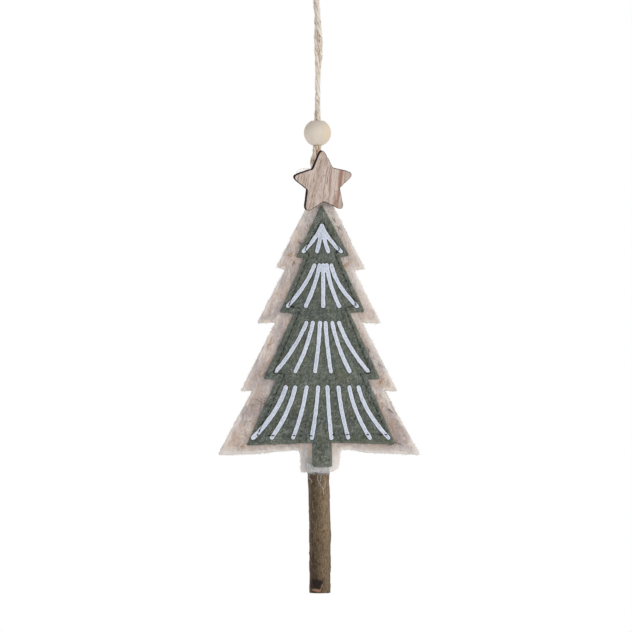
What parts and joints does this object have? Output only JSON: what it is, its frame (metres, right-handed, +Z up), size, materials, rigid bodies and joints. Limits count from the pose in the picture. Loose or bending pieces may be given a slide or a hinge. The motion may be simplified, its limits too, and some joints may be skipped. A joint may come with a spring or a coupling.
{
  "type": "felt christmas tree ornament",
  "caption": "Padded felt tree ornament with a bark twig trunk, a wooden star and a bead that slides on its doubled twine hanging loop.",
  "frame": {"origin": "inner top of the twine's hanging loop, where it bears on its hook", "axes": "+Z up along the hanging cord, +X to the right seen from the front, and the front with the star faces -Y"},
  "size_m": [0.0851, 0.0187, 0.2718],
  "materials": {
    "natural_felt": "mottled wool felt, matt and fuzzy",
    "green_felt": "heathered wool felt, matt and fuzzy",
    "wadding": "loose white fibre filling",
    "white_ink": "raised cool white print",
    "star_wood": "bare thin board with a laser-charred edge",
    "bead_wood": "bare turned pale wood",
    "bark": "thin natural bark",
    "jute": "two-ply natural twine",
    "glue": "hot-melt glue, milky"
  },
  "bodies": {
    "hanger": {"hanging_loop": "jute"},
    "bead": {"bead": "bead_wood"},
    "tree": {"left_cord_leg": "jute", "right_cord_leg": "jute", "star": "star_wood", "star_glue": "glue", "cord_glue": "glue", "back_felt": "natural_felt", "front_felt": "natural_felt", "green_felt": "green_felt", "padding": "wadding", "twig": "bark", "twig_glue": "glue", "top_fan": "white_ink", "mid_ray_1": "white_ink", "mid_ray_2": "white_ink", "mid_ray_trident": "white_ink", "lower_ray_1": "white_ink", "lower_ray_2": "white_ink", "lower_ray_3": "white_ink", "lower_ray_4": "white_ink", "lower_ray_5": "white_ink", "lower_ray_6": "white_ink", "base_ray_1": "white_ink", "base_ray_2": "white_ink", "base_ray_3": "white_ink", "base_ray_4": "white_ink", "base_ray_5": "white_ink", "base_ray_6": "white_ink", "base_ray_7": "white_ink", "base_ray_8": "white_ink"}
  },
  "joints": [
    {"name": "bead_slide", "type": "slide", "parent": "hanger", "child": "bead", "axis": [0, 0, 1], "range_m": [0, 0.04]},
    {"name": "tree_twist", "type": "hinge", "parent": "hanger", "child": "tree", "pos_m": [0, 0, -0.074], "axis": [0, 0, 1], "range_deg": [-90, 90], "stiffness_Nm_per_rad": 0.001}
  ]
}
